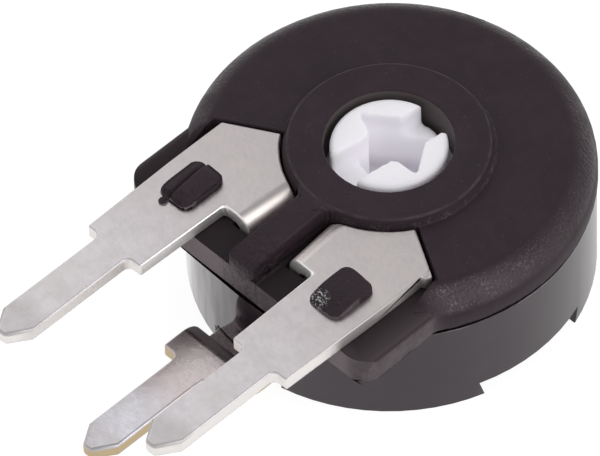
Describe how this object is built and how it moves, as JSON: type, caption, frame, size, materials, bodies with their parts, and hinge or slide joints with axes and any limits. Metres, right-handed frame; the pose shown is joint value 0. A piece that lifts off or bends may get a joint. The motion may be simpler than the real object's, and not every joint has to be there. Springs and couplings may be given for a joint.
{
  "type": "trimmer potentiometer",
  "caption": "Round trimmer potentiometer with a screwdriver-set rotor, two end terminals on top and a bent wiper terminal below.",
  "frame": {"origin": "on the rotor's axis, in the plane of the rear housing's feet", "axes": "+Z along the rotor's axis towards the screwdriver slot, -Y along the pins, +X towards the right terminal when the slot is seen with the pins down"},
  "size_m": [0.0102, 0.0157, 0.0042],
  "materials": {
    "front_plastic": "matt moulded black",
    "rear_plastic": "semi-matt moulded black",
    "rotor_plastic": "smooth moulded white",
    "spring_metal": "bright nickel silver",
    "board": "phenolic paper with a printed carbon track",
    "tinned_metal": "satin tin plate on brass"
  },
  "bodies": {
    "housing": {"front_housing": "front_plastic", "rear_housing": "rear_plastic", "resistive_board": "board", "left_terminal": "tinned_metal", "right_terminal": "tinned_metal", "wiper_terminal": "tinned_metal"},
    "rotor": {"rotor": "rotor_plastic", "wiper_spring": "spring_metal"}
  },
  "joints": [
    {"name": "rotor_turn", "type": "hinge", "parent": "housing", "child": "rotor", "pos_m": [0, 0, 0], "axis": [0, 0, 1], "range_deg": [-108.5, 126.5]}
  ]
}
